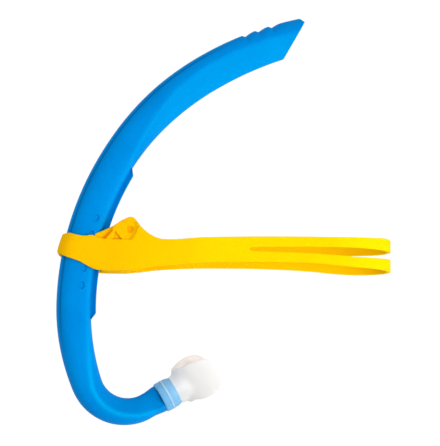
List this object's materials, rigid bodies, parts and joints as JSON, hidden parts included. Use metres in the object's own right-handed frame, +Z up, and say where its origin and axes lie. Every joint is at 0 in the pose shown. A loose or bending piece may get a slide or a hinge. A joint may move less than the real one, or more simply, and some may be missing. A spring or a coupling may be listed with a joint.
{
  "type": "snorkel tube",
  "caption": "Swimmer's centre snorkel: curved tube with a slanted inlet and a rear rail, sliding head bracket with a split strap loop, and a silicone mouthpiece.",
  "frame": {"origin": "middle of the forehead pad's rear face, where it rests on the forehead", "axes": "+Z up, +X from the tube towards the head, -X the way the swimmer faces; Y is across and the bracket is symmetric about Y = 0"},
  "size_m": [0.3505, 0.072, 0.4312],
  "materials": {
    "tube_blue": "satin moulded plastic",
    "rail_blue": "satin moulded plastic",
    "clear_white_silicone": "translucent silicone",
    "bracket_yellow": "matt silicone",
    "strap_yellow": "matt silicone",
    "slider_white": "satin moulded plastic"
  },
  "bodies": {
    "headgear": {"tube_collar": "bracket_yellow", "spacer_block": "bracket_yellow", "forehead_pad": "bracket_yellow", "rail_slider": "slider_white", "detent_nub_left": "bracket_yellow", "detent_nub_right": "bracket_yellow", "strap_side_left": "strap_yellow", "strap_side_right": "strap_yellow"},
    "tube": {"tube_body": "tube_blue", "bracket_rail": "rail_blue"},
    "mouthpiece": {"mouthpiece": "clear_white_silicone"},
    "upper_band": {"strap_band_upper": "strap_yellow"},
    "lower_band": {"strap_band_lower": "strap_yellow"}
  },
  "joints": [
    {"name": "tube_height", "type": "hinge", "parent": "headgear", "child": "tube", "pos_m": [0.2442, 0, -0.0682], "axis": [0, 1, 0], "range_deg": [-7.01, 7.01], "deforming": ["detent_nub_left", "detent_nub_right"]},
    {"name": "mouthpiece_swivel", "type": "hinge", "parent": "tube", "child": "mouthpiece", "pos_m": [0.0309, 0, -0.1594], "axis": [0.8704, 0, 0.4924], "range_deg": [-60, 30]},
    {"name": "upper_band_flex", "type": "hinge", "parent": "headgear", "child": "upper_band", "pos_m": [0.126, 0, 0.002], "axis": [0, -1, 0], "range_deg": [0, 20], "stiffness_Nm_per_rad": 0.3},
    {"name": "lower_band_flex", "type": "hinge", "parent": "headgear", "child": "lower_band", "pos_m": [0.126, 0, -0.0128], "axis": [0, 1, 0], "range_deg": [0, 20], "stiffness_Nm_per_rad": 0.3}
  ]
}
